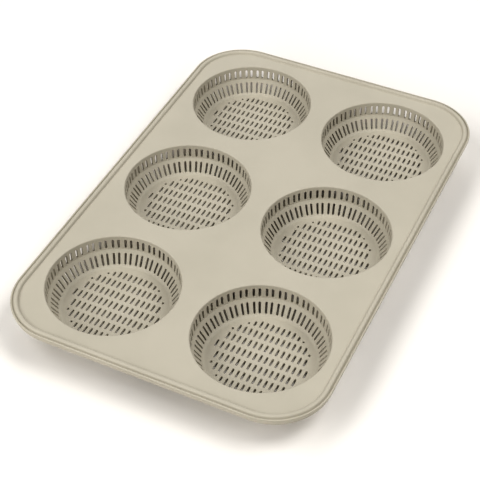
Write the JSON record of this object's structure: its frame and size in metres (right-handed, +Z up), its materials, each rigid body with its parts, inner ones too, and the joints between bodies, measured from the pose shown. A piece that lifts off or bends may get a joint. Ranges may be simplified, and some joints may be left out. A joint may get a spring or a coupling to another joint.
{
  "type": "perforated bun tray",
  "caption": "Soft silicone tray with rounded corners, a beaded rim and rows of round slotted cups with slanted walls and flat slotted bases, for baking buns.",
  "frame": {"origin": "middle of the plane that the foot rings under the cups stand on", "axes": "+Z up, out of the cups' mouths; +Y along the tray's long side; +X across the two columns of cups"},
  "size_m": [0.2556, 0.3856, 0.0304],
  "materials": {
    "silicone": "matte moulded beige silicone rubber, with a soft sheen",
    "steel": "plain drawn steel wire"
  },
  "bodies": {
    "root": {"deck": "silicone", "rim": "silicone", "rim_ring": "steel", "cup_wall_back_left": "silicone", "cup_wall_back_right": "silicone", "cup_wall_middle_left": "silicone", "cup_wall_middle_right": "silicone", "cup_wall_front_left": "silicone", "cup_wall_front_right": "silicone", "cup_base_back_left": "silicone", "cup_base_back_right": "silicone", "cup_base_middle_left": "silicone", "cup_base_middle_right": "silicone", "cup_base_front_left": "silicone", "cup_base_front_right": "silicone"}
  },
  "joints": []
}
